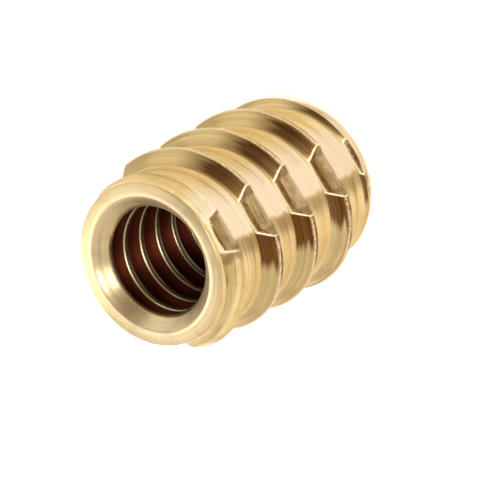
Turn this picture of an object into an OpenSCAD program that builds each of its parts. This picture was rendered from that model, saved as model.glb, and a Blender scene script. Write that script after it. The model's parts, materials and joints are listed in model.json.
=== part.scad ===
// Screw-in threaded insert, turned from one brass bar.
// A coarse outside thread bites into soft material, three lengthwise slots cut
// through its ridges, and a smooth bore carries the fine inside thread's crests.
// The insert stands on its flat far end with its mouth up. Origin: centre of that
// end. +Z runs along the bore to the mouth, and one slot faces -Y.

/* [Body] */
// Height from the flat far end to the mouth face
body_h = 12.4; // [9:0.1:24]
// Radius of the bore, at the crests of the fine inside thread
bore_r = 2.59; // [1.5:0.01:5]
// Wall between the bore and the root of the outside thread
wall = 1.32; // [0.9:0.01:2.5]

/* [Outside thread] */
// Height of the ridge above its root
ridge_h = 0.67; // [0.3:0.01:1.2]
// Rise of the ridge in one turn
pitch = 2.82; // [2.4:0.01:4.5]
// Width of the flat along the ridge's crest
crest_flat = 0.25; // [0.1:0.01:0.5]
// Rise of the flank on the mouth side, from crest to root
mouth_flank = 0.59; // [0.3:0.01:0.8]
// Rise of the flank on the far side, from crest to root
far_flank = 0.54; // [0.3:0.01:0.8]
// Height of the lowest crest line where it crosses the middle of the first slot
first_crest_z = 0.34; // [0:0.01:2]

/* [Ends] */
// Length of the cone that leads the ridge in at the mouth
lead_h = 1.66; // [0.8:0.01:3]
// How far the mouth cone runs in under the root
lead_under = 0.05; // [0.02:0.01:0.2]
// Length of the cone that ends the ridge at the far end
tail_h = 1.86; // [0.8:0.01:3]
// How far the far cone runs in under the root
tail_under = 0.155; // [0.02:0.005:0.25]
// Width of the flat ring round the mouth
mouth_ring = 0.6; // [0.2:0.01:0.8]
// Included angle of the countersink in the mouth
mouth_sink_angle = 90; // [60:1:120]
// Width of the small chamfer round the bore's far end
far_sink = 0.3; // [0.1:0.01:0.5]

/* [Slots] */
// Number of lengthwise slots
slots = 3; // [2:1:4]
// Width of a slot's flat floor
slot_w = 1.54; // [0.8:0.02:2.4]
// Height of a slot's floor above the root, measured at its middle
slot_rise = 0.07; // [0.02:0.01:0.2]
// Angle of a slot's walls away from upright
slot_flare = 50; // [20:1:60]

/* [Hidden] */

$fn = 96;
BRASS = [0.84, 0.67, 0.36];

// Radii that follow from the bore outwards
root_r = bore_r + wall;
crest_r = root_r + ridge_h;
lead_r = root_r - lead_under;
tail_r = root_r - tail_under;
mouth_sink_r = lead_r - mouth_ring;
far_sink_r = bore_r + far_sink;

// Depths of the two countersinks
mouth_sink_h = (mouth_sink_r - bore_r) / tan(mouth_sink_angle / 2);
far_sink_h = far_sink;

// Cutters run past the faces they cut, and the ridge stands in the body
over = 1;
ridge_sink = 0.05;
// The ridge stands above its crest, so that the outline trims it to a true round
ridge_over = 0.05;

// Steps of the ridge in one turn
turn_steps = 48;
// Whole turns, enough to pass both ends
turns_below = ceil((first_crest_z + mouth_flank + crest_flat) / pitch);
turns_above = ceil((body_h - first_crest_z + far_flank + crest_flat) / pitch);
first_slot_angle = -90;

// The ridge's section as [radius, height from the crest line]
function ridge_section() =
    let (
        inner = root_r - ridge_sink,
        outer = crest_r + ridge_over,
        half = crest_flat / 2,
        mouth_slope = mouth_flank / ridge_h,
        far_slope = far_flank / ridge_h
    ) [
        [inner, -half - far_slope * (crest_r - inner)],
        [outer, -half + far_slope * ridge_over],
        [outer, half - mouth_slope * ridge_over],
        [inner, half + mouth_slope * (crest_r - inner)]
    ];

// The same section carried round to an angle, and raised to the crest line there
function ridge_ring(angle, z) = [
    for (p = ridge_section())
        [p[0] * cos(angle), p[0] * sin(angle), z + p[1]]
];

// One ridge wound round the axis, right-handed, as a closed skin
module ridge() {
    steps = (turns_below + turns_above) * turn_steps;
    n = len(ridge_section());
    points = [
        for (i = [0 : steps])
            let (
                turn = i / turn_steps - turns_below,
                angle = first_slot_angle + 360 * turn
            )
                each ridge_ring(angle, first_crest_z + pitch * turn)
    ];
    sides = [
        for (i = [0 : steps - 1], j = [0 : n - 1])
            let (
                a = i * n + j,
                b = i * n + (j + 1) % n
            )
                each [[a, b, a + n], [b, b + n, a + n]]
    ];
    start = [for (j = [n - 1 : -1 : 0]) j];
    end = [for (j = [0 : n - 1]) steps * n + j];
    polyhedron(points = points, faces = concat([start, end], sides));
}

// Everything outside this turned outline is cut away
module outline() {
    rotate_extrude()
        polygon([
            [0, 0],
            [tail_r, 0],
            [crest_r, tail_h],
            [crest_r, body_h - lead_h],
            [lead_r, body_h],
            [0, body_h]
        ]);
}

module root_core() {
    translate([0, 0, -over])
        cylinder(r = root_r, h = body_h + 2 * over);
}

// The bore with its countersinks
module bore() {
    rotate_extrude()
        polygon([
            [0, -over],
            [far_sink_r + over, -over],
            [bore_r, far_sink_h],
            [bore_r, body_h - mouth_sink_h],
            [mouth_sink_r + over * tan(mouth_sink_angle / 2), body_h + over],
            [0, body_h + over]
        ]);
}

// One slot, along the body on its +Y side
module slot_cut() {
    floor_y = root_r + slot_rise;
    rise = ridge_h + over;
    flare = rise * tan(slot_flare);
    translate([0, 0, -over])
        linear_extrude(height = body_h + 2 * over)
            polygon([
                [-slot_w / 2, floor_y],
                [slot_w / 2, floor_y],
                [slot_w / 2 + flare, floor_y + rise],
                [-slot_w / 2 - flare, floor_y + rise]
            ]);
}

module insert() {
    color(BRASS)
        difference() {
            intersection() {
                outline();
                union() {
                    root_core();
                    ridge();
                }
            }
            bore();
            for (i = [0 : slots - 1])
                rotate([0, 0, 180 + i * 360 / slots])
                    slot_cut();
        }
}

insert();
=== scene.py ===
"""Screw-in threaded insert in bright turned brass, standing mouth up on a pale studio floor."""

import json
import math
from types import SimpleNamespace

import bpy
import numpy as np
from bpy.props import FloatProperty, FloatVectorProperty, IntProperty, PointerProperty
from mathutils import Matrix, Vector


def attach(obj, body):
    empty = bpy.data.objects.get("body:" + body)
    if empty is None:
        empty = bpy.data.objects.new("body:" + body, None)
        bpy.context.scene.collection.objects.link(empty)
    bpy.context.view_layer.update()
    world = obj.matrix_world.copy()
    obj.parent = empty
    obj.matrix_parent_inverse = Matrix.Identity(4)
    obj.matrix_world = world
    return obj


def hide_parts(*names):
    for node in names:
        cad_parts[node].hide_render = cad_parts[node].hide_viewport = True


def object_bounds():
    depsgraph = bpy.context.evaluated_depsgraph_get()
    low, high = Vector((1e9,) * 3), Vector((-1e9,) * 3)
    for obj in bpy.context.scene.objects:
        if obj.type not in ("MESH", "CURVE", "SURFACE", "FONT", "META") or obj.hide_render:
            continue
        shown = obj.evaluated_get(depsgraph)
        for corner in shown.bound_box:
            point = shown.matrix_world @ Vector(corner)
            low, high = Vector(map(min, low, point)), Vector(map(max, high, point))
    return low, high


bl_info = {
    "name": "Slotted Threaded Insert",
    "version": (1, 0, 0),
    "blender": (4, 5, 0),
    "location": "View3D > Sidebar > Insert",
    "description": "Builds a brass screw-in threaded insert and the studio round it",
    "category": "Add Mesh",
}

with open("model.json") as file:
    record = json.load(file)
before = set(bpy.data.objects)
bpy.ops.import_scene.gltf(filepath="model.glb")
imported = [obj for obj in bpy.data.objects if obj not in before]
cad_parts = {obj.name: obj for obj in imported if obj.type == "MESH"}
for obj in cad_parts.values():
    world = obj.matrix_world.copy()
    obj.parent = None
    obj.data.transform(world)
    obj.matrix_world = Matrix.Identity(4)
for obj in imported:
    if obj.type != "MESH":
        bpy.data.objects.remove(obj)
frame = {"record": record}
CAD_LOW, CAD_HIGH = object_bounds()
MOUNTS = {mount["name"]: mount for mount in frame["record"]["mounts"]}
MM = 0.001
TURN = 2 * math.pi
FIRST_SLOT = -math.pi / 2


# ---------------------------------------------------------------- sizes

def size(name, description, mm):
    """A length, given in millimetres and kept in metres."""
    return FloatProperty(
        name=name, description=description, default=mm * MM, min=0, precision=5,
        subtype="DISTANCE", unit="LENGTH",
    )


def angle_of(name, description, degrees):
    """An angle, given in degrees and kept in radians."""
    return FloatProperty(name=name, description=description, default=math.radians(degrees), subtype="ANGLE")


def in_mm(group):
    """A property group's values, with its lengths in millimetres."""
    values = SimpleNamespace()
    for key, rna in group.bl_rna.properties.items():
        if key in group.__annotations__:
            value = getattr(group, key)
            setattr(values, key, value / MM if getattr(rna, "unit", "NONE") == "LENGTH" else value)
    return values


def colour(name, description, default):
    """A colour as linear red, green and blue."""
    return FloatVectorProperty(
        name=name, description=description, default=default, subtype="COLOR", size=3, min=0, max=1
    )


class OutsideSizes(bpy.types.PropertyGroup):
    """The turned outside: ridge, lead-in, tail and slots."""

    height: size("Height", "From the flat far end to the mouth", (CAD_HIGH.z - CAD_LOW.z) / MM)
    crest_r: size("Crest radius", "Over the crest of the ridge", MOUNTS["outside_thread"]["dims"]["r_mm"])
    ridge_h: size("Ridge height", "Crest above root", 0.67)
    pitch: size("Pitch", "Rise of the ridge in one turn", 2.82)
    crest_flat: size("Crest flat", "Width of the flat along the crest", 0.25)
    mouth_flank: size("Mouth flank", "Rise of the flank that faces the mouth", 0.59)
    far_flank: size("Far flank", "Rise of the flank that faces the far end", 0.54)
    first_crest_z: size("First crest", "Height of the lowest crest line at the first slot", 0.34)
    lead_h: size("Lead-in length", "Length of the cone at the mouth", 1.66)
    lead_under: size("Lead-in under root", "How far the mouth cone runs in under the root", 0.05)
    tail_h: size("Tail length", "Length of the cone at the far end", 1.86)
    tail_under: size("Tail under root", "How far the far cone runs in under the root", 0.155)
    slots: IntProperty(name="Slots", description="Number of lengthwise slots", default=3, min=1, max=4)
    slot_w: size("Slot floor width", "Width of a slot's flat floor", 1.54)
    slot_rise: size("Slot floor rise", "Slot floor above the root", 0.07)
    slot_flare: angle_of("Slot flare", "Lean of a slot's walls away from upright", 50)
    edge: size("Edge softness", "Blend over outer edges", 0.05)
    slot_edge: size("Slot edge softness", "Blend over the edges of the slots", 0.24)
    fillet: size("Root fillet", "Blend in the corners at the root", 0.14)
    burr: size("Burr height", "Lip that the slot cutter leaves along its edges", 0.03)
    burr_w: size("Burr width", "Width of that lip", 0.18)


class InsideSizes(bpy.types.PropertyGroup):
    """The bore, its fine thread and its two countersinks."""

    crest_r: size("Bore radius", "At the inside thread's crests", MOUNTS["bore_thread"]["dims"]["r_mm"])
    root_r: size("Groove radius", "At the bottom of the inside thread", 3.175)
    pitch: size("Pitch", "Rise of the inside thread in one turn", 1.27)
    root_flat: size("Groove flat", "Width of the flat in the groove", 0.2)
    crest_flat: size("Crest flat", "Width of the thread's crest", 0.24)
    start: angle_of("Thread start", "Turn of the inside thread about the axis", 119.6)
    run_out: size("Run-out", "How far under the countersink the thread reaches its full depth", 0.1)
    mouth_ring: size("Mouth ring", "Width of the flat ring round the mouth", 0.60)
    sink_slope: angle_of("Countersink slope", "Half of the countersink's included angle", 45)
    far_sink: size("Far chamfer", "Width of the chamfer round the bore's far end", 0.3)
    edge: size("Edge softness", "Blend over the thread's edges", 0.08)


# ---------------------------------------------------------------- shape

OUTER, SLOT, FACE, BORE = range(4)


def soft_min(a, b, blend):
    """The lower of two heights, with the corner between them rounded."""
    h = np.clip(0.5 + 0.5 * (b - a) / blend, 0, 1)
    return b * (1 - h) + a * h - blend * h * (1 - h)


def soft_max(a, b, blend):
    """The higher of two heights, with the corner between them rounded."""
    return -soft_min(-a, -b, blend)


def spaced(count):
    """Fractions from 0 up to, but not at, 1, closer together at both ends."""
    return 0.5 - 0.5 * np.cos(np.pi * np.arange(count) / count)


class Outside:
    """The outside as a radius for each angle and height."""

    def __init__(self, s):
        self.s = s
        self.root_r = s.crest_r - s.ridge_h
        self.floor_r = self.root_r + s.slot_rise
        self.lead_r = self.root_r - s.lead_under
        self.tail_r = self.root_r - s.tail_under
        self.low = s.tail_h * s.tail_under / (s.ridge_h + s.tail_under)
        self.high = s.height - s.lead_h * s.lead_under / (s.ridge_h + s.lead_under)

    def envelope(self, z):
        """Radii of the tail cone and the lead-in cone."""
        s = self.s
        tail = self.tail_r + (s.crest_r - self.tail_r) * z / s.tail_h
        lead = self.lead_r + (s.crest_r - self.lead_r) * (s.height - z) / s.lead_h
        return tail, lead

    def from_slot(self, angle):
        """Angle from the middle of the nearest slot, signed."""
        step = TURN / self.s.slots
        return (angle - FIRST_SLOT + step / 2) % step - step / 2

    def slot_radius(self, angle, blend=0.0):
        """Radius of the slot's floor and walls, and far out where no slot reaches."""
        d = np.abs(self.from_slot(angle))
        slope = math.tan(self.s.slot_flare)
        floor = self.floor_r / np.cos(d)
        lean = np.maximum(np.cos(d) * slope - np.sin(d), 0.3)
        wall = (self.floor_r * slope - self.s.slot_w / 2) / lean
        return soft_max(floor, wall, blend) if blend else np.maximum(floor, wall)

    def crest_z(self, angle, turn):
        """Height of the crest line at an angle, on a given turn."""
        return self.s.first_crest_z + self.s.pitch * ((angle - FIRST_SLOT) / TURN + turn)

    def flanks(self, offset):
        """Radius of the ridge's flanks, which rise past the crest until something trims them."""
        s = self.s
        mouth = s.crest_r - (offset - s.crest_flat / 2) * s.ridge_h / s.mouth_flank
        far = s.crest_r + (offset + s.crest_flat / 2) * s.ridge_h / s.far_flank
        return mouth, far

    def top(self, angle, z):
        """The surface that trims the ridge: crest, end cone or slot."""
        return np.minimum(self.trim(z, 0), self.slot_radius(angle))

    def trim(self, z, blend):
        """The crest and the two end cones, with rounded corners where there is a blend."""
        tail, lead = self.envelope(z)
        crest = np.full_like(z, self.s.crest_r)
        if not blend:
            return np.minimum(np.minimum(crest, tail), lead)
        return soft_min(soft_min(crest, tail, blend), lead, blend)

    def radius(self, angle, z):
        """Radius of the finished outside."""
        thread = self.thread(angle, z)[0]
        steep = np.clip((np.abs(self.from_slot(angle)) / math.radians(10) - 1) * 4, 0, 1)
        burr = self.s.burr * (0.6 + 0.4 * steep) * self.lip(angle, z)
        uncut = soft_min(thread, self.trim(z, self.s.edge), self.s.edge)
        return soft_min(uncut, self.slot_radius(angle, 0.05), self.s.slot_edge) + burr

    def thread(self, angle, z):
        """Radius of the ridge before its crest is trimmed, and the distance from the crest line."""
        pitch = self.s.pitch
        offset = (z - self.crest_z(angle, 0) + pitch / 2) % pitch - pitch / 2
        mouth, far = self.flanks(offset)
        return soft_max(np.full_like(z, self.root_r), np.minimum(mouth, far), self.s.fillet), offset

    def lip(self, angle, z):
        """How far the lip along a slot's edges stands up, from 0 to 1, most where the cutter leaves."""
        s = self.s
        thread, offset = self.thread(angle, z)
        tail, lead = self.envelope(z)
        uncut = np.minimum(np.minimum(thread, s.crest_r), np.minimum(tail, lead))
        gap = (self.slot_radius(angle) - uncut) / s.burr_w
        side = np.clip(0.7 + offset * 2, 0.35, 1)
        proud = np.clip((uncut - self.root_r) / s.slot_rise * 1.5 - 0.4, 0, 1)
        ragged = 0.8 + 0.2 * np.sin(31 * angle) * np.sin(7.3 * z + 40 * angle)
        return side * proud * ragged * np.exp(-gap * gap)

    def finish(self, angle, z, r):
        """Which tool left the surface at each point."""
        tail, lead = self.envelope(z)
        uncut = np.minimum(self.thread(angle, z)[0], self.trim(z, 0))
        cut = self.slot_radius(angle) < uncut - 0.06
        coned = np.minimum(tail, lead) < r + 0.02
        return np.where(cut, SLOT, np.where(coned & (r > self.root_r + 0.04), FACE, OUTER))

    def corner(self, angle, crest, side):
        """Offset from the crest line at which a flank meets what trims it, found by halving."""
        s = self.s
        foot = s.crest_flat / 2 + (s.mouth_flank if side > 0 else s.far_flank)
        near, away = np.zeros_like(angle), np.full_like(angle, foot)
        for _ in range(30):
            middle = (near + away) / 2
            flank = self.flanks(side * middle)[0 if side > 0 else 1]
            above = flank > self.top(angle, crest + side * middle)
            near, away = np.where(above, middle, near), np.where(above, away, middle)
        return side * near

    def rows(self, angle, turn):
        """Heights of the rows across one turn of the ridge at each angle, bunched at its edges."""
        s = self.s
        crest = self.crest_z(angle, turn)
        stops = [
            np.full_like(angle, -s.pitch / 2),
            np.full_like(angle, -s.crest_flat / 2 - s.far_flank),
            self.corner(angle, crest, -1),
            self.corner(angle, crest, 1),
            np.full_like(angle, s.crest_flat / 2 + s.mouth_flank),
            np.full_like(angle, s.pitch / 2),
        ]
        rows = []
        for start, stop, count in zip(stops, stops[1:], (4, 8, 8, 9, 4)):
            rows += [crest + start + (stop - start) * t for t in spaced(count)]
        return rows


class Inside:
    """The bore as a radius for each angle and height."""

    def __init__(self, s, outside):
        self.s = s
        self.height = outside.s.height
        self.sink_r = outside.lead_r - s.mouth_ring
        self.sink_tan = math.tan(s.sink_slope)
        self.edge_z = self.height - (self.sink_r - s.crest_r) / self.sink_tan
        self.run = (s.pitch - s.crest_flat - s.root_flat) / 2

    def sinks(self, z):
        """Radii of the countersink and of the far chamfer."""
        mouth = self.sink_r - (self.height - z) * self.sink_tan
        far = self.s.crest_r + self.s.far_sink - z
        return mouth, far

    def radius(self, angle, z):
        """Radius of the finished bore."""
        s = self.s
        offset = (z - s.pitch * (angle - s.start) / TURN + s.pitch / 2) % s.pitch - s.pitch / 2
        depth = (s.root_r - s.crest_r) * (1 - np.maximum(np.abs(offset) - s.root_flat / 2, 0) / self.run)
        clear = np.clip((self.edge_z - z - 0.02) / s.run_out, 0, 1)
        groove = s.crest_r + np.minimum(depth, (s.root_r - s.crest_r) * clear)
        thread = soft_max(np.full_like(z, s.crest_r), groove, s.edge)
        mouth, far = self.sinks(z)
        return soft_max(soft_max(thread, mouth, 0.04), far, 0.04)

    def lip(self, angle, z):
        """No cutter leaves a lip in the bore."""
        return np.zeros_like(z)

    def finish(self, angle, z, r):
        """Which tool left the surface at each point."""
        mouth, far = self.sinks(z)
        return np.where(np.maximum(mouth, far) > self.s.crest_r + 0.02, FACE, BORE)

    def rows(self, angle, turn):
        """Heights of the rows across one turn of the thread at each angle."""
        s = self.s
        middle = s.pitch * ((angle - s.start) / TURN + turn)
        stops = [
            -s.pitch / 2,
            -s.root_flat / 2 - self.run,
            -s.root_flat / 2,
            s.root_flat / 2,
            s.root_flat / 2 + self.run,
            s.pitch / 2,
        ]
        rows = []
        for start, stop, count in zip(stops, stops[1:], (2, 7, 2, 7, 2)):
            rows += [middle + start + (stop - start) * t for t in spaced(count)]
        return rows


def columns(outside):
    """Angles round the part, closer together across the slots."""
    step = TURN / outside.s.slots
    reach = math.radians(18)
    across, between = 60, 68
    near = -reach + 2 * reach * np.arange(across) / across
    rest = reach + (step - 2 * reach) * np.arange(between) / between
    one = np.concatenate([near, rest])
    return np.concatenate([FIRST_SLOT + k * step + one for k in range(outside.s.slots)])


class Skin:
    """Collects the vertices and faces of one closed mesh."""

    def __init__(self):
        self.points, self.lips, self.faces, self.finish = [], [], [], []
        self.count = 0

    def ring(self, angle, r, z):
        """Adds a ring of points and gives their numbers."""
        self.points.append(np.stack([r * np.cos(angle), r * np.sin(angle), z * np.ones_like(angle)], 1))
        self.lips.append(np.zeros_like(angle))
        first = self.count
        self.count += len(angle)
        return np.arange(first, self.count)

    def band(self, lower, upper, finish):
        """Faces between two rings that have the same number of points."""
        a, b = lower, upper
        c, d = np.roll(upper, -1), np.roll(lower, -1)
        self.quads(a, d, c, b, finish)

    def quads(self, a, b, c, d, finish):
        finishes = np.broadcast_to(finish, a.shape).tolist()
        for *quad, mark in zip(a.tolist(), b.tolist(), c.tolist(), d.tolist(), finishes):
            corners = [v for i, v in enumerate(quad) if v != quad[i - 1]]
            if len(corners) > 2:
                self.faces.append(corners)
                self.finish.append(mark)

    def winding(self, angle, surface, low, high, flip=False):
        """A helical grid over a surface, cut square at two heights. Gives its two end rings."""
        pitch = surface.s.pitch
        turns = range(-2, int(high / pitch) + 3)
        rows = [z for turn in turns for z in surface.rows(angle, turn)]
        per_turn = len(rows) // len(turns)
        heights = np.array(rows)
        bottom = self.ring(angle, surface.radius(angle, np.full_like(angle, low)), low)
        top = self.ring(angle, surface.radius(angle, np.full_like(angle, high)), high)
        tiny = 1e-4
        number = np.where(heights <= low + tiny, bottom, np.where(heights >= high - tiny, top, -1))
        where = np.nonzero(number < 0)
        z = heights[where]
        a = angle[where[1]]
        r = surface.radius(a, z)
        number[where] = self.count + np.arange(len(z))
        self.points.append(np.stack([r * np.cos(a), r * np.sin(a), z], 1))
        self.lips.append(surface.lip(a, z))
        self.count += len(z)
        wrapped = np.full(len(number), -1)
        wrapped[:-per_turn] = number[per_turn:, 0]
        wrapped[-per_turn:] = top[0]
        nexts = np.concatenate([number[:, 1:], wrapped[:, None]], 1)
        half_way = angle + np.diff(angle, append=angle[0] + TURN) / 2
        middle_a = np.broadcast_to(half_way, heights.shape)[:-1]
        middle_z = np.clip((heights[:-1] + heights[1:]) / 2, low, high)
        finish = surface.finish(middle_a, middle_z, surface.radius(middle_a, middle_z)).ravel()
        a, b = number[:-1].ravel(), nexts[:-1].ravel()
        c, d = nexts[1:].ravel(), number[1:].ravel()
        if flip:
            a, b, c, d = d, c, b, a
        self.quads(a, b, c, d, finish)
        return bottom, top

    def stitch(self, fine, coarse, finish, flip=False):
        """Faces between a ring and one with half as many points."""
        n = len(fine)
        for i, near in enumerate(coarse.tolist()):
            far = int(coarse[(i + 1) % len(coarse)])
            a, b, c = (int(fine[(2 * i + k) % n]) for k in range(3))
            corners = [near, a, b, c, far]
            self.faces.append(corners[::-1] if flip else corners)
            self.finish.append(finish)

    def mesh(self, name):
        """The collected points and faces as a mesh, in metres."""
        mesh = bpy.data.meshes.new(name)
        points = np.concatenate(self.points) * MM
        mesh.from_pydata(points.tolist(), [], self.faces)
        lip = mesh.attributes.new("lip", "FLOAT", "POINT")
        lip.data.foreach_set("value", np.concatenate(self.lips))
        mesh.polygons.foreach_set("material_index", self.finish)
        mesh.polygons.foreach_set("use_smooth", [True] * len(self.faces))
        mesh.update()
        return mesh


def show(name, mesh):
    """Adds a piece to the scene, riding on the part's one body."""
    piece = bpy.data.objects.new(name, mesh)
    bpy.context.scene.collection.objects.link(piece)
    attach(piece, "root")
    return piece


def turned(outline, corner_r, steps=3):
    """A turned outline's points as [radius, height], with each inner corner rounded."""
    points = [np.array(p, float) for p in outline]
    out = [points[0]]
    for before, at, after in zip(points, points[1:], points[2:]):
        come, go = at - before, after - at
        reach = min(corner_r, np.linalg.norm(come) / 3, np.linalg.norm(go) / 3)
        start, stop = at - come / np.linalg.norm(come) * reach, at + go / np.linalg.norm(go) * reach
        for t in np.linspace(0, 1, steps + 1):
            out.append((1 - t) ** 2 * start + 2 * t * (1 - t) * at + t**2 * stop)
    return out + [points[-1]]


def mouth_outline(outside, inside):
    """The mouth's outline as [radius, height]: the fine groove under the ring, and the ring's two edges."""
    height = outside.s.height

    def cone(down):
        return outside.envelope(height - down)[1]

    groove = ((0.10, 0.0), (0.08, 0.03), (0.065, 0.03), (0.045, 0))
    rings = [(cone(down) - deep, height - down) for down, deep in groove]
    return rings + [(cone(0.02), height - 0.02), (cone(0) - 0.02, height), (inside.sink_r + 0.08, height)]


def countersink(inside, steps=4):
    """The countersink's outline, from its softened edge at the ring down to the bore's edge."""
    wide, deep = inside.sink_r - inside.s.crest_r, inside.height - inside.edge_z
    edge = [(inside.sink_r + 0.03, 0.0), (inside.sink_r + 0.006, 0.006)]
    slope = [(inside.sink_r - wide * t, deep * t) for t in np.linspace(0.04, 1, steps + 1)]
    return [(r, inside.height - down) for r, down in edge + slope]


def insert_skin(outside, inside):
    """The whole insert as one closed mesh."""
    skin = Skin()
    angle = columns(outside)
    half = angle[::2]
    low, ring = skin.winding(angle, outside, outside.low, outside.high)
    # Mouth: the last of the lead-in cone, the flat ring, and the countersink down to the bore's edge
    for r, z in mouth_outline(outside, inside):
        upper = skin.ring(angle, r, z)
        skin.band(ring, upper, FACE)
        ring = upper
    coarse = skin.ring(half, inside.sink_r + 0.05, outside.s.height)
    skin.stitch(ring, coarse, FACE)
    for r, z in countersink(inside):
        upper = skin.ring(half, r, z)
        skin.band(coarse, upper, FACE)
        coarse = upper
    # Bore: the thread's run-out under that edge, and the fine thread down to the far face
    for z in (inside.edge_z - 0.03, inside.edge_z - 0.07):
        upper = skin.ring(half, inside.radius(half, np.full_like(half, z)), z)
        skin.band(coarse, upper, BORE)
        coarse = upper
    bottom, top = skin.winding(half, inside, 0.0, inside.edge_z - 0.11, flip=True)
    skin.band(coarse, top, BORE)
    # Far end: the foot of the tail cone and the flat face
    tail = turned([(outside.tail_r + 0.1, outside.low), (outside.tail_r, 0), (inside.s.root_r, 0)], 0.05)
    ring = low
    for r, z in tail[1:-1]:
        lower = skin.ring(angle, r, z)
        skin.band(lower, ring, FACE)
        ring = lower
    skin.stitch(ring, bottom, FACE, flip=True)
    return skin


# ---------------------------------------------------------------- finishes

class BrassFinish(bpy.types.PropertyGroup):
    """Colours and marks of the brass."""

    bright: colour("Bright brass", "Freshly cut brass", (0.92, 0.68, 0.33))
    # Pale brass: the paler end faces and bore crests, and the painted highlights on the lips, crest
    # corners, slot run-outs and cones at the slots
    pale: colour("Pale brass", "Brass burnished by a cutting edge", (0.96, 0.79, 0.53))
    # This colour is the painted highlight in the pale bands at the slots
    band_highlight_colour: colour("Skimmed brass", "Brass in the pale bands at the slots", (0.90, 0.71, 0.49))
    warm: colour("Warm brass", "Brass with a little tarnish", (0.68, 0.47, 0.18))
    olive: colour("Olive brass", "Dull brass where the slots are milled", (0.36, 0.25, 0.09))
    # Brown brass: the random stains and tool marks, and the painted shade and dark reflections beside the
    # slots and behind the crests
    brown: colour("Brown brass", "Brass in the dark patches and lines", (0.15, 0.045, 0.006))
    # Dark bore is the painted shade in the inside thread's grooves
    dark: colour("Dark bore", "Brass in the grooves of the inside thread", (0.045, 0.008, 0.004))
    marks: FloatProperty(
        name="Tool marks", description="Marks in each millimetre across the cut", default=7, min=0
    )
    depth: size("Mark depth", "Depth of the tool marks", 0.006)


class Graph:
    """Short ways of adding nodes to one node tree."""

    def __init__(self, tree):
        self.tree = tree

    def node(self, kind, inputs=(), **settings):
        node = self.tree.nodes.new(kind)
        for key, value in settings.items():
            setattr(node, key, value)
        for key, value in dict(inputs).items():
            self.feed(value, node.inputs[key])
        return node

    def feed(self, value, socket):
        if isinstance(value, bpy.types.NodeSocket):
            self.tree.links.new(value, socket)
        else:
            socket.default_value = value

    def math(self, operation, *values, clamp=False):
        """One step of arithmetic."""
        node = self.node("ShaderNodeMath", enumerate(values), operation=operation, use_clamp=clamp)
        return node.outputs[0]

    def times(self, a, b):
        return self.math("MULTIPLY", a, b)

    def plus(self, a, b):
        return self.math("ADD", a, b)

    def minus(self, a, b):
        return self.math("SUBTRACT", a, b)

    def vector(self, operation, *values):
        node = self.node("ShaderNodeVectorMath", enumerate(values), operation=operation)
        return node.outputs["Value" if operation in ("LENGTH", "DOT_PRODUCT") else "Vector"]

    def mix(self, amount, low, high):
        """A colour between two colours."""
        node = self.node("ShaderNodeMix", data_type="RGBA")
        for value, at in zip((amount, low, high), (0, 6, 7)):
            if isinstance(value, tuple):
                value = (*value, 1)
            self.feed(value, node.inputs[at])
        return node.outputs[2]

    def between(self, value, low, high, to_low=0.0, to_high=1.0):
        """A value spread smoothly from one range to another."""
        inputs = {"Value": value, "From Min": low, "From Max": high, "To Min": to_low, "To Max": to_high}
        return self.node("ShaderNodeMapRange", inputs, interpolation_type="SMOOTHSTEP").outputs[0]

    def noise(self, vector, scale=1.0, detail=2.0, roughness=0.5, w=None):
        inputs = {"Vector": vector, "Scale": scale, "Detail": detail, "Roughness": roughness}
        if w is not None:
            inputs["W"] = w
        dimensions = "3D" if w is None else "4D"
        return self.node("ShaderNodeTexNoise", inputs, noise_dimensions=dimensions).outputs[0]


def new_group(name, inputs, outputs):
    """A new shader node group with number inputs and outputs."""
    tree = bpy.data.node_groups.new(name, "ShaderNodeTree")
    for label, default in inputs.items():
        socket = tree.interface.new_socket(label, in_out="INPUT", socket_type="NodeSocketFloat")
        socket.default_value = default
    for label in outputs:
        tree.interface.new_socket(label, in_out="OUTPUT", socket_type="NodeSocketFloat")
    graph = Graph(tree)
    start, end = graph.node("NodeGroupInput"), graph.node("NodeGroupOutput")
    return tree, graph, start.outputs, end.inputs


def place(graph, tree, **inputs):
    """Adds a node group to a material and gives its outputs."""
    node = graph.node("ShaderNodeGroup", node_tree=tree)
    for key, value in inputs.items():
        graph.feed(value, node.inputs[key.replace("_", " ").capitalize()])
    return node.outputs


def round_the_axis(graph):
    """Position in millimetres, distance from the axis, and direction from the axis."""
    spot = graph.vector("SCALE", graph.node("ShaderNodeTexCoord").outputs["Object"])
    spot.node.inputs["Scale"].default_value = 1 / MM
    flat = graph.vector("MULTIPLY", spot, (1, 1, 0))
    radius = graph.vector("LENGTH", flat)
    out = graph.vector("NORMALIZE", flat)
    x, y, _ = graph.node("ShaderNodeSeparateXYZ", {0: out}).outputs
    z = graph.node("ShaderNodeSeparateXYZ", {0: spot}).outputs[2]
    return spot, radius, x, y, z


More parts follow.
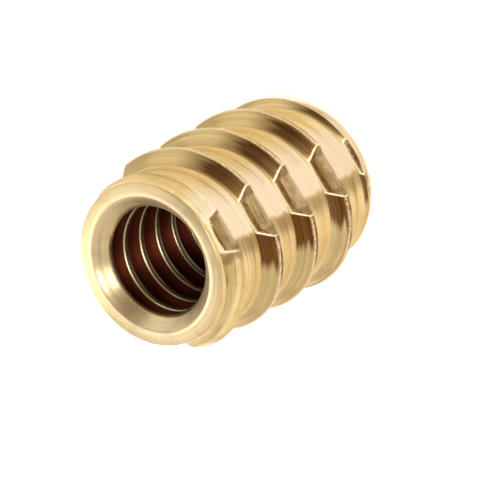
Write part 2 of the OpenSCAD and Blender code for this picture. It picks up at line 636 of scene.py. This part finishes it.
def turning_marks():
    """Fine lines that a tool leaves as it follows a thread, or in rings where Rings is 1."""
    name = "turning_marks"
    if name in bpy.data.node_groups:
        return bpy.data.node_groups[name]
    inputs = {"Pitch": 2.8, "Fineness": 7.0, "Rings": 0.0}
    tree, graph, given, out = new_group(name, inputs, ("Marks", "Streaks"))
    _, radius, x, y, z = round_the_axis(graph)
    turn = graph.math("DIVIDE", graph.times(z, TURN), given["Pitch"])
    cosine, sine = graph.math("COSINE", turn), graph.math("SINE", turn)
    along = graph.plus(graph.times(cosine, x), graph.times(sine, y))
    across = graph.minus(graph.times(sine, x), graph.times(cosine, y))
    reach = graph.math("DIVIDE", given["Pitch"], TURN)
    for label, share, detail in (("Marks", 1.0, 3.0), ("Streaks", 0.28, 2.0)):
        fine = graph.times(given["Fineness"], share)
        span = graph.times(fine, reach)
        helix = graph.node("ShaderNodeCombineXYZ", {
            0: graph.times(along, span),
            1: graph.times(across, span),
            2: graph.times(radius, fine),
        }).outputs[0]
        rings = graph.node("ShaderNodeCombineXYZ", {
            0: graph.times(x, 0.4),
            1: graph.times(y, 0.4),
            2: graph.times(radius, fine),
        }).outputs[0]
        ways = {0: given["Rings"], 4: helix, 5: rings}
        where = graph.node("ShaderNodeMix", ways, data_type="VECTOR").outputs[1]
        slow = graph.times(z, graph.plus(0.12, graph.times(given["Rings"], fine)))
        graph.feed(graph.noise(where, detail=detail, roughness=0.6, w=slow), out[label])
    return tree


def stains():
    """Cloudy patches, from 0 where the brass is clean to 1 where it is stained."""
    name = "stains"
    if name in bpy.data.node_groups:
        return bpy.data.node_groups[name]
    inputs = {"Size": 1.0, "Cover": 0.4, "Softness": 0.2}
    tree, graph, given, out = new_group(name, inputs, ("Mask", "Grain"))
    spot = round_the_axis(graph)[0]
    scale = graph.math("DIVIDE", 1.0, given["Size"])
    cloud = graph.noise(spot, scale, 3.0, 0.6)
    edge = graph.minus(0.75, graph.times(given["Cover"], 0.5))
    low, high = graph.minus(edge, given["Softness"]), graph.plus(edge, given["Softness"])
    graph.feed(graph.between(cloud, low, high), out["Mask"])
    graph.feed(graph.noise(spot, graph.times(scale, 14.0), 2.0, 0.7), out["Grain"])
    return tree


def new_brass(name):
    """A metal material, its graph and its shader."""
    material = bpy.data.materials.new(name)
    material.use_nodes = True
    shader = material.node_tree.nodes["Principled BSDF"]
    shader.inputs["Metallic"].default_value = 1
    return material, Graph(material.node_tree), shader


def dress(graph, shader, base, roughness, height, depth):
    """Feeds a colour, a roughness and a height to the shader."""
    graph.feed(base, shader.inputs["Base Color"])
    graph.feed(roughness, shader.inputs["Roughness"])
    bump = graph.node("ShaderNodeBump", {"Height": height, "Strength": 1.0, "Distance": depth})
    graph.feed(bump.outputs[0], shader.inputs["Normal"])


def lathe_grain(graph, shader, anisotropy):
    """Stretches the gloss across the lathe's marks."""
    shader.inputs["Anisotropic"].default_value = anisotropy
    shader.inputs["Anisotropic Rotation"].default_value = 0.25
    tangent = graph.node("ShaderNodeTangent", direction_type="RADIAL", axis="Z")
    graph.feed(tangent.outputs[0], shader.inputs["Tangent"])


def round_from(graph, start, half_turn):
    """Angle round the axis from a starting angle, wrapped at the given half turn."""
    _, _, x, y, _ = round_the_axis(graph)
    angle = graph.minus(graph.math("ARCTAN2", y, x), start)
    return graph.math("WRAP", angle, half_turn, -half_turn)


def across_ridge(graph, outside):
    """Distance in millimetres from the ridge's nearest crest line, positive towards the mouth."""
    _, _, x, y, z = round_the_axis(graph)
    angle = graph.minus(graph.math("ARCTAN2", y, x), FIRST_SLOT)
    rise = graph.plus(graph.times(angle, outside.pitch / TURN), outside.first_crest_z)
    return graph.math("WRAP", graph.minus(z, rise), outside.pitch / 2, -outside.pitch / 2)


def zone(graph, value, middle, reach, soft):
    """1 where the value is within reach of the middle, falling to 0 over the soft edge."""
    off = graph.math("ABSOLUTE", graph.minus(value, middle))
    return graph.between(off, reach + soft, reach)


def slot_side(graph, slot, middle, reach, soft):
    """A zone beside each slot, with its angles in degrees."""
    return zone(graph, slot, *(math.radians(a) for a in (middle, reach, soft)))


def lip_highlight_mask(graph, grain, low, high, least, most):
    """Where the mesh holds the lip that the cutter leaves along the slots, broken up by the grain: the
    place of the lips' painted highlight.
    """
    lip = graph.node("ShaderNodeAttribute", attribute_name="lip").outputs["Fac"]
    return graph.times(graph.between(lip, low, high), graph.between(grain, 0.35, 0.6, least, most))


def slot_cut(graph, outside):
    """1 on the slots' floors and walls and 0 off them, and the height above the floor."""
    radius = round_the_axis(graph)[1]
    slot = round_from(graph, FIRST_SLOT, math.pi / outside.slots)
    floor_r = outside.crest_r - outside.ridge_h + outside.slot_rise
    rise = graph.minus(graph.times(radius, graph.math("COSINE", slot)), floor_r)
    side = graph.math("ABSOLUTE", graph.times(radius, graph.math("SINE", slot)))
    side = graph.minus(side, outside.slot_w / 2)
    side = graph.times(side, math.cos(outside.slot_flare))
    wall = graph.minus(side, graph.times(rise, math.sin(outside.slot_flare)))
    off = graph.math("MAXIMUM", graph.times(rise, -1.0), wall)
    return graph.between(off, 0.045, 0.025), rise


def milled_colour(graph, brass, outside):
    """The colour of the slots, mottled, with painted shade darkest on their walls, and its marks and grain.
    """
    bright, olive, brown = (tuple(c) for c in (brass.bright, brass.olive, brass.brown))
    marks, streaks = place(graph, turning_marks(), pitch=outside.pitch, fineness=brass.marks, rings=1.0)
    mask, grain = place(graph, stains(), size=0.5, cover=0.5, softness=0.12)
    rise = slot_cut(graph, outside)[1]
    base = graph.mix(graph.between(streaks, 0.4, 0.58, 0.5, 1.0), bright, olive)
    base = graph.mix(graph.times(mask, 0.35), base, brown)
    base = graph.mix(graph.between(grain, 0.42, 0.6, 0.0, 0.5), base, brown)
    # Painted shade: darker olive-brown up the slot walls
    base = graph.mix(graph.between(rise, 0.03, 0.1, 0.0, 0.75), base, graph.mix(0.3, olive, brown))
    # Painted shade where the floor meets the ridge's mouth flank, and a painted highlight where it runs out
    # on the other side
    edge = outside.crest_flat / 2 + outside.mouth_flank * (1 - outside.slot_rise / outside.ridge_h)
    ridge = across_ridge(graph, outside)
    groove = zone(graph, ridge, edge - 0.24, 0.1, 0.1)
    base = graph.mix(graph.times(groove, graph.between(mask, 0.0, 1.0, 0.9, 0.5)), base, brown)
    on_floor = graph.between(rise, 0.08, 0.03, 0.0, 0.3)
    runout = graph.times(graph.between(ridge, -0.15, -0.5), on_floor)
    return graph.mix(runout, base, tuple(brass.pale)), marks, grain


def turned_brass(brass, outside):
    """The ridge and the root land: turned along the helix, with a painted highlight at the slots and
    painted dark reflections beside them.
    """
    material, graph, shader = new_brass("turned_brass")
    lathe_grain(graph, shader, 0.5)
    bright, pale, warm, brown = (tuple(c) for c in (brass.bright, brass.pale, brass.warm, brass.brown))
    marks, streaks = place(graph, turning_marks(), pitch=outside.pitch, fineness=brass.marks)
    mask, grain = place(graph, stains(), size=1.6, cover=0.35, softness=0.2)
    radius = round_the_axis(graph)[1]
    slot = round_from(graph, FIRST_SLOT, math.pi / outside.slots)
    ridge = across_ridge(graph, outside)
    base = graph.mix(graph.between(streaks, 0.38, 0.62, 0.0, 0.8), bright, warm)
    base = graph.mix(graph.between(marks, 0.52, 0.66, 0.0, 0.3), base, brown)
    base = graph.mix(graph.times(mask, 0.4), base, warm)
    # A pale band at the slots: a painted highlight on the root land, crest and far flank, kept off the
    # flanks that face the mouth. A pale band at the slots: a guess at brass skimmed by the cutter,
    # which may be a highlight
    fray = graph.times(graph.minus(streaks, 0.5), 0.6)
    fray = graph.plus(fray, graph.times(graph.minus(marks, 0.5), 0.2))
    band = graph.plus(slot, graph.times(fray, 0.3))
    slot = graph.plus(slot, fray)
    root_r = outside.crest_r - outside.ridge_h
    low = graph.between(radius, root_r + 0.12, root_r + 0.05)
    # Painted shade: the root land turns warmer and darker from 34 to 46 degrees out from each slot
    away = graph.between(graph.math("ABSOLUTE", band), math.radians(34), math.radians(46), 0.0, 0.7)
    base = graph.mix(graph.times(away, low), base, warm)
    highlight_band = graph.between(band, math.radians(-11), math.radians(-6.5))
    highlight_band = graph.times(highlight_band, graph.between(band, math.radians(38), math.radians(16)))
    highlight_band = graph.times(highlight_band, graph.between(marks, 0.7, 0.4, 0.8, 1.0))
    half_flat, flank_w = outside.crest_flat / 2, outside.mouth_flank
    facing = zone(graph, ridge, half_flat + flank_w / 2, flank_w / 2, 0.05)
    highlight_band = graph.times(highlight_band, graph.minus(1.0, facing))
    base = graph.mix(highlight_band, base, tuple(brass.band_highlight_colour))
    # Painted dark reflections: dark patches on the flanks and root land beside the slots, full strength
    # round the first slot and a fifth round the other two. Dark patches beside the slots, strongest
    # round the first: a guess at stains that may be reflections
    flank = zone(graph, ridge, half_flat + flank_w * 0.4, flank_w * 0.33, 0.1)
    left = graph.between(band, math.radians(-7), math.radians(-12), 0.0, 0.6)
    left = graph.times(left, graph.between(band, math.radians(-27), math.radians(-16)))
    left = graph.math("MAXIMUM", left, graph.times(slot_side(graph, slot, -20, 10, 9), facing))
    right = graph.times(slot_side(graph, slot, 30, 11, 12), graph.times(flank, 0.9))
    dark_patch = graph.math("MAXIMUM", left, right)
    around = graph.math("ABSOLUTE", round_from(graph, FIRST_SLOT, math.pi))
    near_first = graph.between(around, math.radians(80), math.radians(60), 0.2, 1.0)
    dark_patch = graph.times(dark_patch, near_first)
    z = round_the_axis(graph)[4]
    dark_patch = graph.times(dark_patch, graph.between(z, outside.height - 0.2, outside.height - 0.5))
    dark_patch = graph.times(dark_patch, graph.between(streaks, 0.36, 0.54, 0.85, 1.0))
    dark_patch = graph.times(dark_patch, graph.between(marks, 0.62, 0.38, 0.85, 1.0))
    base = graph.mix(dark_patch, base, brown)
    # Crest: a painted highlight along its corner towards the mouth and a broken line of painted shade
    # behind it, both near the slots
    ragged = graph.plus(ridge, graph.times(graph.minus(grain, 0.5), 0.2))
    on_top = graph.between(radius, outside.crest_r - 0.12, outside.crest_r - 0.05)
    near = slot_side(graph, slot, -24, 16, 22)
    near = graph.math("MAXIMUM", near, graph.times(slot_side(graph, slot, 38, 12, 14), 0.6))
    on_top = graph.times(on_top, near)
    line = graph.times(zone(graph, ragged, half_flat, 0.03, 0.04), on_top)
    line = graph.times(line, graph.between(grain, 0.38, 0.58, 0.25, 0.9))
    shade_behind_crest = graph.times(zone(graph, ragged, -0.05, 0.08, 0.03), on_top)
    shade_behind_crest = graph.times(shade_behind_crest, graph.between(mask, 0.0, 0.6, 0.45, 0.95))
    base = graph.mix(shade_behind_crest, base, brown)
    # Painted highlight: the lips along the slots paler, mixed with the crest's painted highlight
    lip = lip_highlight_mask(graph, grain, 0.1, 0.45, 0.75, 1.0)
    base = graph.mix(graph.math("MAXIMUM", line, lip), base, graph.mix(0.5, bright, pale))
    base = graph.mix(slot_cut(graph, outside)[0], base, milled_colour(graph, brass, outside)[0])
    rough = graph.between(marks, 0.3, 0.7, 0.2, 0.32)
    height = graph.plus(marks, graph.times(grain, 0.15))
    dress(graph, shader, base, rough, height, brass.depth)
    return material


def milled_brass(brass, outside):
    """The slots: duller and browner than the ridge."""
    material, graph, shader = new_brass("milled_brass")
    base, marks, grain = milled_colour(graph, brass, outside)
    # Painted highlight: the lips along the slots pale
    lip = lip_highlight_mask(graph, grain, 0.6, 0.95, 0.5, 0.9)
    base = graph.mix(lip, base, tuple(brass.pale))
    rough = graph.between(grain, 0.3, 0.7, 0.24, 0.42)
    height = graph.plus(graph.times(marks, 1.5), grain)
    dress(graph, shader, base, rough, height, brass.depth * 1.5)
    return material


def faced_brass(brass, outside):
    """The ends and their cones: turned in rings, paler on the faces, with a painted highlight on the cones
    at the slots and a painted dark reflection on the cone beside the first slot.
    """
    material, graph, shader = new_brass("faced_brass")
    lathe_grain(graph, shader, 0.8)
    bright, pale, warm, brown = (tuple(c) for c in (brass.bright, brass.pale, brass.warm, brass.brown))
    marks, streaks = place(graph, turning_marks(), pitch=outside.pitch, fineness=brass.marks, rings=1.0)
    mask, grain = place(graph, stains(), size=1.1, cover=0.3, softness=0.15)
    radius = round_the_axis(graph)[1]
    around = round_from(graph, FIRST_SLOT, math.pi)
    lead_r = outside.crest_r - outside.ridge_h - outside.lead_under
    cone = graph.between(radius, lead_r + 0.02, lead_r + 0.06)
    base = graph.mix(graph.between(streaks, 0.38, 0.62, 0.1, 0.85), bright, warm)
    base = graph.mix(graph.between(marks, 0.52, 0.66, 0.0, 0.4), base, brown)
    # Paler on the end faces all round, and a painted highlight on the lead-in cone beside each slot
    clean = graph.times(graph.minus(1.0, cone), 0.5)
    slot = round_from(graph, FIRST_SLOT, math.pi / outside.slots)
    clean = graph.math("MAXIMUM", clean, graph.times(slot_side(graph, slot, 10, 14, 14), cone))
    clean = graph.times(clean, graph.between(streaks, 0.7, 0.4, 0.65, 0.95))
    base = graph.mix(clean, base, pale)
    # A faint olive patch on the ring and countersink at one angle round the axis
    dark_patch = zone(graph, around, math.radians(-149), math.radians(10), math.radians(14))
    dark_patch = graph.times(dark_patch, graph.minus(1.0, cone))
    dark_patch = graph.times(dark_patch, graph.between(grain, 0.35, 0.6, 0.0, 0.3))
    base = graph.mix(dark_patch, base, tuple(brass.olive))
    # Painted dark reflection: a dark mark on the lead-in cone beside the first slot
    slot = graph.plus(slot, graph.times(graph.minus(streaks, 0.5), 0.2))
    beside = graph.times(slot_side(graph, slot, -16, 1.5, 5), graph.times(cone, 0.7))
    beside = graph.times(beside, graph.between(grain, 0.35, 0.6, 0.6, 1.0))
    beside = graph.times(beside, zone(graph, around, 0, math.radians(50), math.radians(15)))
    base = graph.mix(beside, base, brown)
    # Painted highlight: the lips along the slots pale
    lip = lip_highlight_mask(graph, grain, 0.1, 0.45, 0.75, 1.0)
    base = graph.mix(lip, base, pale)
    base = graph.mix(slot_cut(graph, outside)[0], base, milled_colour(graph, brass, outside)[0])
    base = graph.mix(graph.times(mask, 0.2), base, brown)
    rough = graph.between(marks, 0.3, 0.7, 0.26, 0.38)
    height = graph.plus(marks, graph.times(grain, 0.2))
    dress(graph, shader, base, rough, height, brass.depth)
    return material


def bored_brass(brass, inside):
    """The inside thread: crests of pale and brown brass, alike all round, over grooves painted dark as
    shade.
    """
    material, graph, shader = new_brass("bored_brass")
    lathe_grain(graph, shader, 0.5)
    marks, streaks = place(graph, turning_marks(), pitch=inside.pitch, fineness=brass.marks * 1.3)
    radius = round_the_axis(graph)[1]
    shader.inputs["Specular Tint"].default_value = (0.5, 0.22, 0.08, 1)
    sunk = graph.between(radius, inside.crest_r + 0.04, inside.crest_r + 0.09)
    grain = place(graph, stains(), size=0.8, cover=0.5, softness=0.2)["Grain"]
    dark, brown, pale = (tuple(c) for c in (brass.dark, brass.brown, brass.pale))
    # Painted shade: the grooves near black-red all round, a little browner just under the crests
    deep = graph.mix(graph.between(streaks, 0.5, 0.75, 0.0, 0.25), dark, brown)
    shoulder = graph.between(radius, inside.crest_r + 0.12, inside.crest_r + 0.34)
    deep = graph.mix(shoulder, graph.mix(0.2, dark, brown), deep)
    crest = graph.mix(graph.between(streaks, 0.3, 0.7, 0.6, 0.85), brown, pale)
    base = graph.mix(sunk, crest, deep)
    rough = graph.math("MULTIPLY_ADD", sunk, 0.1, graph.between(marks, 0.3, 0.7, 0.24, 0.34))
    height = graph.plus(marks, graph.times(grain, 0.3))
    dress(graph, shader, base, rough, height, brass.depth)
    return material


# ---------------------------------------------------------------- operators

class INSERT_OT_body(bpy.types.Operator):
    """Build the insert's body with its threads, slots and ends"""

    bl_idname = "insert.body"
    bl_label = "Build Body"
    bl_options = {"REGISTER", "UNDO"}

    def execute(self, context):
        settings = context.scene.insert_settings
        outside = Outside(in_mm(settings.outside))
        inside = Inside(in_mm(settings.inside), outside)
        skin = insert_skin(outside, inside)
        body = show("insert_body", skin.mesh("insert_body"))
        for finish in (turned_brass, milled_brass, faced_brass):
            body.data.materials.append(finish(settings.brass, outside.s))
        body.data.materials.append(bored_brass(settings.brass, inside.s))
        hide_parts("insert")
        return {"FINISHED"}


class StudioSettings(bpy.types.PropertyGroup):
    """Camera and floor."""

    azimuth: FloatProperty(
        name="Azimuth", description="Camera's side, counted from the first slot",
        default=math.radians(4.5), subtype="ANGLE",
    )
    elevation: FloatProperty(
        name="Elevation", description="Camera's height above the floor",
        default=math.radians(49.37), subtype="ANGLE",
    )
    roll: FloatProperty(
        name="Roll", description="Turn of the camera about its own line of sight",
        default=math.radians(119.66), subtype="ANGLE",
    )
    distance: size("Distance", "Camera to the point it looks at", 430.04)
    target: FloatVectorProperty(
        name="Target", description="Point the camera looks at",
        default=(-1.627 * MM, -0.294 * MM, 6.058 * MM), size=3, subtype="TRANSLATION", unit="LENGTH",
    )
    lens: FloatProperty(name="Lens", description="Focal length", default=676.8, min=1, unit="CAMERA")
    floor_w: size("Floor width", "Side of the square floor", 1000)


class INSERT_OT_camera(bpy.types.Operator):
    """Set up the camera that looks down into the mouth"""

    bl_idname = "insert.camera"
    bl_label = "Set Up Camera"
    bl_options = {"REGISTER", "UNDO"}

    def execute(self, context):
        s = context.scene.insert_settings.studio
        out = math.cos(s.elevation)
        back = Vector((math.sin(s.azimuth) * out, -math.cos(s.azimuth) * out, math.sin(s.elevation)))
        level = Vector((0, 0, 1)).cross(back).normalized()
        up = back.cross(level) * math.cos(s.roll) + level * math.sin(s.roll)
        right = up.cross(back)
        data = bpy.data.cameras.new("camera")
        data.lens = s.lens
        data.sensor_width = 36
        data.clip_start, data.clip_end = 0.01, 10
        camera = bpy.data.objects.new("camera", data)
        spot = Vector(s.target) + back * s.distance
        camera.matrix_world = Matrix.Translation(spot) @ Matrix((right, up, back)).transposed().to_4x4()
        context.scene.collection.objects.link(camera)
        context.scene.camera = camera
        return {"FINISHED"}


class INSERT_OT_studio(bpy.types.Operator):
    """Lay the pale floor and hang the soft lamps"""

    bl_idname = "insert.studio"
    bl_label = "Build Studio"
    bl_options = {"REGISTER", "UNDO"}

    def execute(self, context):
        context.scene.view_settings.view_transform = "Standard"
        mesh = bpy.data.meshes.new("floor")
        r = context.scene.insert_settings.studio.floor_w / 2
        mesh.from_pydata([(-r, -r, 0), (r, -r, 0), (r, r, 0), (-r, r, 0)], [], [(0, 1, 2, 3)])
        floor = bpy.data.objects.new("floor", mesh)
        context.scene.collection.objects.link(floor)
        mesh.materials.append(floor_paper())
        context.scene.world = studio_world()
        return {"FINISHED"}


def floor_paper():
    """White paper that shows as white to the camera and in the metal, and still takes the shadow."""
    material = bpy.data.materials.new("floor")
    material.use_nodes = True
    graph = Graph(material.node_tree)
    shader = material.node_tree.nodes["Principled BSDF"]
    shader.inputs["Roughness"].default_value = 0.9
    tooth = graph.noise(graph.node("ShaderNodeTexCoord").outputs["Object"], 900.0, 3.0)
    graph.feed(graph.mix(tooth, (0.93, 0.93, 0.93), (0.96, 0.96, 0.96)), shader.inputs["Base Color"])
    shader.inputs["Emission Color"].default_value = (1, 1, 1, 1)
    path = graph.node("ShaderNodeLightPath").outputs
    seen = graph.math("ADD", path["Is Glossy Ray"], path["Is Transmission Ray"], clamp=True)
    seen = graph.times(seen, 0.3)
    seen = graph.math("MAXIMUM", seen, graph.times(path["Is Camera Ray"], 0.4))
    graph.feed(seen, shader.inputs["Emission Strength"])
    return material


# Soft boxes and the gaps between them, each laid over the ones before it: name, azimuth from the first
# slot, half width, elevation, half height and soft edge in degrees, and colour
WALLS = (0.72, 0.72, 0.72)
CARDS = (
    ("back fill", 180, 92, 42, 24, 12, (1.0, 1.0, 1.0)),
    ("left fill", -95, 22, 30, 24, 14, (0.76, 0.76, 0.76)),
    ("low left fill", -60, 14, 30, 7, 6, (1.0, 1.0, 1.0)),
    ("right gap, low", 56, 24, 22, 10, 8, (0.45, 0.39, 0.32)),
    ("right gap, high", 56, 24, 42, 15, 8, (0.32, 0.26, 0.20)),
    ("left gap", -46, 12, 8, 10, 8, (0.50, 0.46, 0.42)),
    ("front fill", -1, 15, 26, 30, 9, (0.98, 0.98, 0.98)),
    ("low strip", 40, 34, 1, 5, 4, (1.75, 1.75, 1.7)),
    ("back strip", 178, 8, 28, 26, 5, (2.4, 2.4, 2.4)),
    ("key", -10, 17, 50, 13, 7, (4.6, 4.6, 4.6)),
    ("overhead gap", 0, 180, 90, 13, 7, (0.05, 0.04, 0.03)),
)


def studio_world():
    """Soft boxes round the part, painted on the world."""
    world = bpy.data.worlds.new("studio")
    world.use_nodes = True
    graph = Graph(world.node_tree)
    ray = graph.node("ShaderNodeTexCoord").outputs["Generated"]
    x, y, z = graph.node("ShaderNodeSeparateXYZ", {0: ray}).outputs
    azimuth = graph.math("ARCTAN2", x, graph.times(y, -1.0))
    height = graph.math("ARCSINE", z)
    light = WALLS
    for _, side, half_w, up, half_h, soft, shade in CARDS:
        turn = graph.minus(azimuth, math.radians(side))
        off = graph.math("ABSOLUTE", graph.math("WRAP", turn, math.pi, -math.pi))
        rise = graph.math("ABSOLUTE", graph.minus(height, math.radians(up)))
        inside = 1.0
        for value, half in ((off, half_w), (rise, half_h)):
            window = graph.between(value, math.radians(half + soft), math.radians(half - soft))
            inside = graph.times(inside, window)
        light = graph.mix(inside, light, shade)
    graph.feed(light, world.node_tree.nodes["Background"].inputs["Color"])
    return world


class InsertSettings(bpy.types.PropertyGroup):
    """Everything that a user would change."""

    outside: PointerProperty(type=OutsideSizes)
    inside: PointerProperty(type=InsideSizes)
    brass: PointerProperty(type=BrassFinish)
    studio: PointerProperty(type=StudioSettings)


class INSERT_PT_panel(bpy.types.Panel):
    """Lists the insert's operators and settings"""

    bl_idname = "INSERT_PT_panel"
    bl_label = "Threaded Insert"
    bl_space_type = "VIEW_3D"
    bl_region_type = "UI"
    bl_category = "Insert"

    def draw(self, context):
        for operator in OPERATORS:
            self.layout.operator(operator.bl_idname)
        settings = context.scene.insert_settings
        for group in (settings.outside, settings.inside, settings.brass, settings.studio):
            box = self.layout.box()
            for key in group.__annotations__:
                box.prop(group, key)


OPERATORS = (INSERT_OT_body, INSERT_OT_studio, INSERT_OT_camera)
CLASSES = (
    OutsideSizes, InsideSizes, BrassFinish, StudioSettings, InsertSettings,
    *OPERATORS, INSERT_PT_panel,
)


def register():
    """Adds the classes and the scene's settings."""
    for cls in CLASSES:
        bpy.utils.register_class(cls)
    bpy.types.Scene.insert_settings = PointerProperty(type=InsertSettings)


def unregister():
    """Takes them away again."""
    del bpy.types.Scene.insert_settings
    for cls in reversed(CLASSES):
        bpy.utils.unregister_class(cls)


def main():
    """Builds everything."""
    register()
    bpy.ops.insert.body()
    bpy.ops.insert.studio()
    bpy.ops.insert.camera()


if __name__ == "__main__":
    main()
